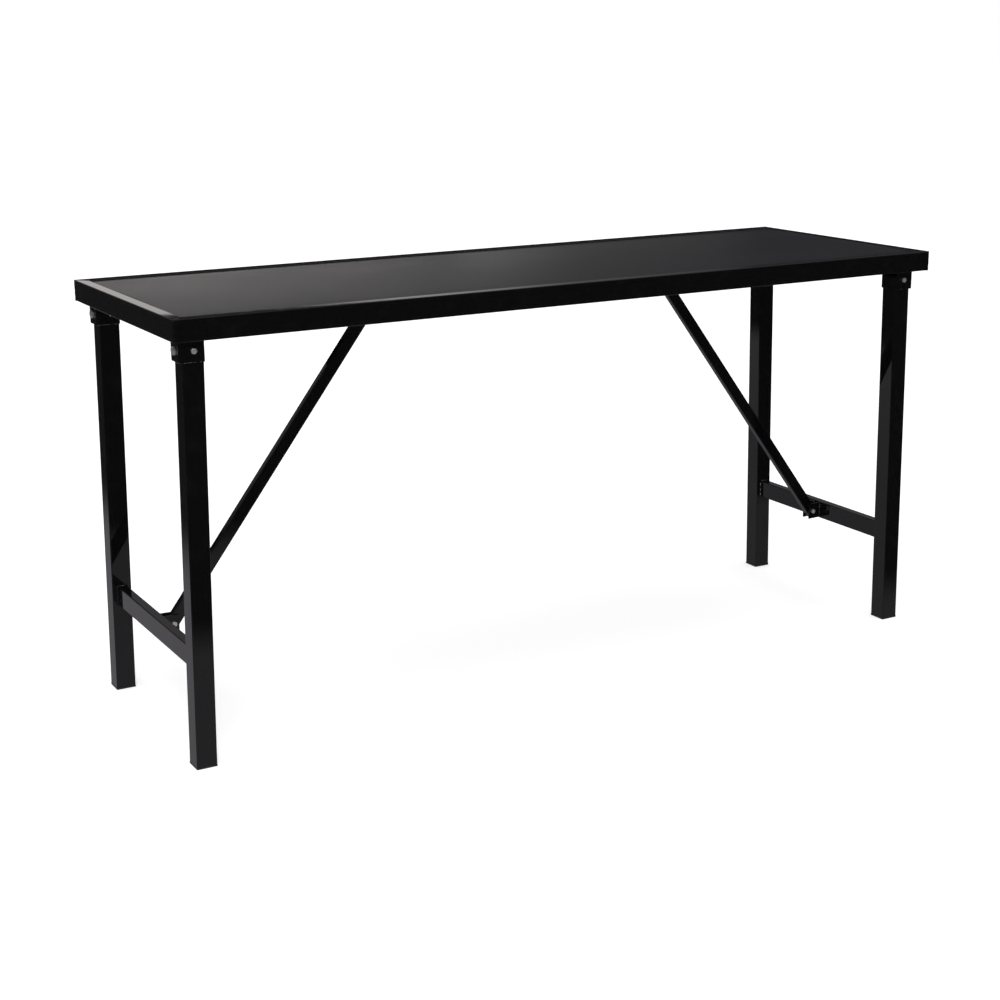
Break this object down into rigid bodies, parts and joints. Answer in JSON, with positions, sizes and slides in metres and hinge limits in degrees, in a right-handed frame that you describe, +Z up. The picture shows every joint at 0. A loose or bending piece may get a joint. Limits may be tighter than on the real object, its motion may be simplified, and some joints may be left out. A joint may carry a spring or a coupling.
{
  "type": "folding work table",
  "caption": "Long folding work table: dark laminate board in a mitred black steel frame, on splayed square-tube leg frames that fold up under it, each held out by a diagonal brace.",
  "frame": {"origin": "on the floor, under the middle of the table top", "axes": "+X along the table to the right-hand end, +Y from the front edge to the back edge, +Z up"},
  "size_m": [1.8, 0.6, 0.885],
  "materials": {
    "black_paint": "gloss black powder coat",
    "black_laminate": "satin black laminate on board",
    "zinc_plate": "bright zinc plated",
    "black_plastic": "satin black"
  },
  "bodies": {
    "top": {"tabletop_board": "black_laminate", "front_rail": "black_paint", "back_rail": "black_paint", "left_rail": "black_paint", "right_rail": "black_paint", "front_spine_rail": "black_paint", "back_spine_rail": "black_paint", "front_middle_strut": "black_paint", "back_middle_strut": "black_paint", "front_board_ledge": "black_paint", "back_board_ledge": "black_paint", "left_hinge_beam": "black_paint", "left_brace_catch": "black_paint", "left_front_hinge_bracket": "black_paint", "left_front_hinge_bolt": "zinc_plate", "left_front_hinge_nut": "black_paint", "left_front_clamp_screw": "zinc_plate", "left_front_board_screw": "zinc_plate", "left_back_hinge_bracket": "black_paint", "left_back_hinge_bolt": "zinc_plate", "left_back_hinge_nut": "black_paint", "left_back_clamp_screw": "zinc_plate", "left_back_board_screw": "zinc_plate", "right_hinge_beam": "black_paint", "right_brace_catch": "black_paint", "right_front_hinge_bracket": "black_paint", "right_front_hinge_bolt": "zinc_plate", "right_front_hinge_nut": "black_paint", "right_front_clamp_screw": "zinc_plate", "right_front_board_screw": "zinc_plate", "right_back_hinge_bracket": "black_paint", "right_back_hinge_bolt": "zinc_plate", "right_back_hinge_nut": "black_paint", "right_back_clamp_screw": "zinc_plate", "right_back_board_screw": "zinc_plate"},
    "left_leg_frame": {"left_front_leg": "black_paint", "left_back_leg": "black_paint", "left_crossbar": "black_paint", "left_front_brace_ear": "black_paint", "left_back_brace_ear": "black_paint", "left_front_foot": "black_plastic", "left_back_foot": "black_plastic", "left_brace_lower_bolt": "zinc_plate", "left_brace_lower_nut": "zinc_plate"},
    "left_brace": {"left_brace": "black_paint", "left_brace_upper_bolt": "zinc_plate", "left_brace_upper_nut": "zinc_plate"},
    "right_leg_frame": {"right_front_leg": "black_paint", "right_back_leg": "black_paint", "right_crossbar": "black_paint", "right_front_brace_ear": "black_paint", "right_back_brace_ear": "black_paint", "right_front_foot": "black_plastic", "right_back_foot": "black_plastic", "right_brace_lower_bolt": "zinc_plate", "right_brace_lower_nut": "zinc_plate"},
    "right_brace": {"right_brace": "black_paint", "right_brace_upper_bolt": "zinc_plate", "right_brace_upper_nut": "zinc_plate"}
  },
  "joints": [
    {"name": "left_leg_fold", "type": "hinge", "parent": "top", "child": "left_leg_frame", "pos_m": [-0.853, 0, 0.82], "axis": [0, -1, 0], "range_deg": [0, 91]},
    {"name": "left_brace_swing", "type": "hinge", "parent": "left_leg_frame", "child": "left_brace", "pos_m": [-0.83244, 0, 0.213], "axis": [0, 1, 0], "range_deg": [0, 146.19]},
    {"name": "right_leg_fold", "type": "hinge", "parent": "top", "child": "right_leg_frame", "pos_m": [0.853, 0, 0.82], "axis": [0, 1, 0], "range_deg": [0, 91]},
    {"name": "right_brace_swing", "type": "hinge", "parent": "right_leg_frame", "child": "right_brace", "pos_m": [0.83244, 0, 0.213], "axis": [0, -1, 0], "range_deg": [0, 146.19]}
  ],
  "couplings": [
    {"joint": "left_brace_swing", "follows": "left_leg_fold", "ratio": 1.6065},
    {"joint": "right_brace_swing", "follows": "right_leg_fold", "ratio": 1.6065}
  ]
}
